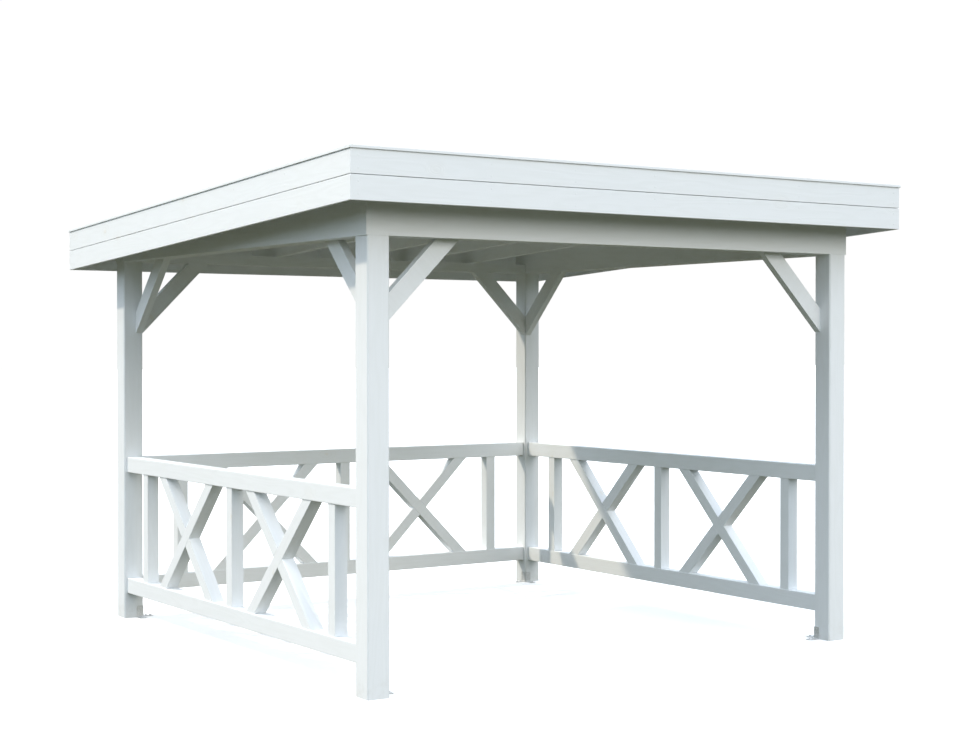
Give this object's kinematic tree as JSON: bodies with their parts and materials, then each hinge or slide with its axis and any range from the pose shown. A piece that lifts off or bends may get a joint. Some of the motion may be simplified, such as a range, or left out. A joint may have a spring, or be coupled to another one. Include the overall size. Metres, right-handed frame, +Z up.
{
  "type": "garden gazebo",
  "caption": "Square open timber gazebo with a single-pitch flat-sided roof, corner posts with knee braces, and railings with crossed bars on the sides and back, open at the front.",
  "frame": {"origin": "centre of the roof's plan, on the ground", "axes": "+X to the right along the open front, seen from the front; +Y from the front to the back; +Z up"},
  "size_m": [3.542, 3.594, 2.5742],
  "materials": {
    "white_timber": "white painted, smooth, faint grain",
    "steel": "galvanised",
    "felt": "matt mineral roofing felt"
  },
  "bodies": {
    "root": {"post_front_left": "white_timber", "post_front_right": "white_timber", "post_back_left": "white_timber", "post_back_right": "white_timber", "anchor_front_left": "steel", "anchor_front_right": "steel", "anchor_back_left": "steel", "anchor_back_right": "steel", "beam_front": "white_timber", "beam_back": "white_timber", "beam_left": "white_timber", "beam_right": "white_timber", "brace_front_at_left": "white_timber", "brace_front_at_right": "white_timber", "brace_back_at_left": "white_timber", "brace_back_at_right": "white_timber", "brace_left_at_front": "white_timber", "brace_left_at_back": "white_timber", "brace_right_at_front": "white_timber", "brace_right_at_back": "white_timber", "fascia_front_lower": "white_timber", "fascia_front_upper": "white_timber", "fascia_back_lower": "white_timber", "fascia_back_upper": "white_timber", "fascia_left_lower": "white_timber", "fascia_left_upper": "white_timber", "fascia_right_lower": "white_timber", "fascia_right_upper": "white_timber", "rafters": "white_timber", "roof_deck": "white_timber", "roof_felt": "felt", "edge_trim": "white_timber", "drip_edge": "white_timber", "left_top_rail": "white_timber", "left_bottom_rail": "white_timber", "left_balusters": "white_timber", "left_crosses": "white_timber", "right_top_rail": "white_timber", "right_bottom_rail": "white_timber", "right_balusters": "white_timber", "right_crosses": "white_timber", "back_top_rail": "white_timber", "back_bottom_rail": "white_timber", "back_balusters": "white_timber", "back_crosses": "white_timber"}
  },
  "joints": []
}
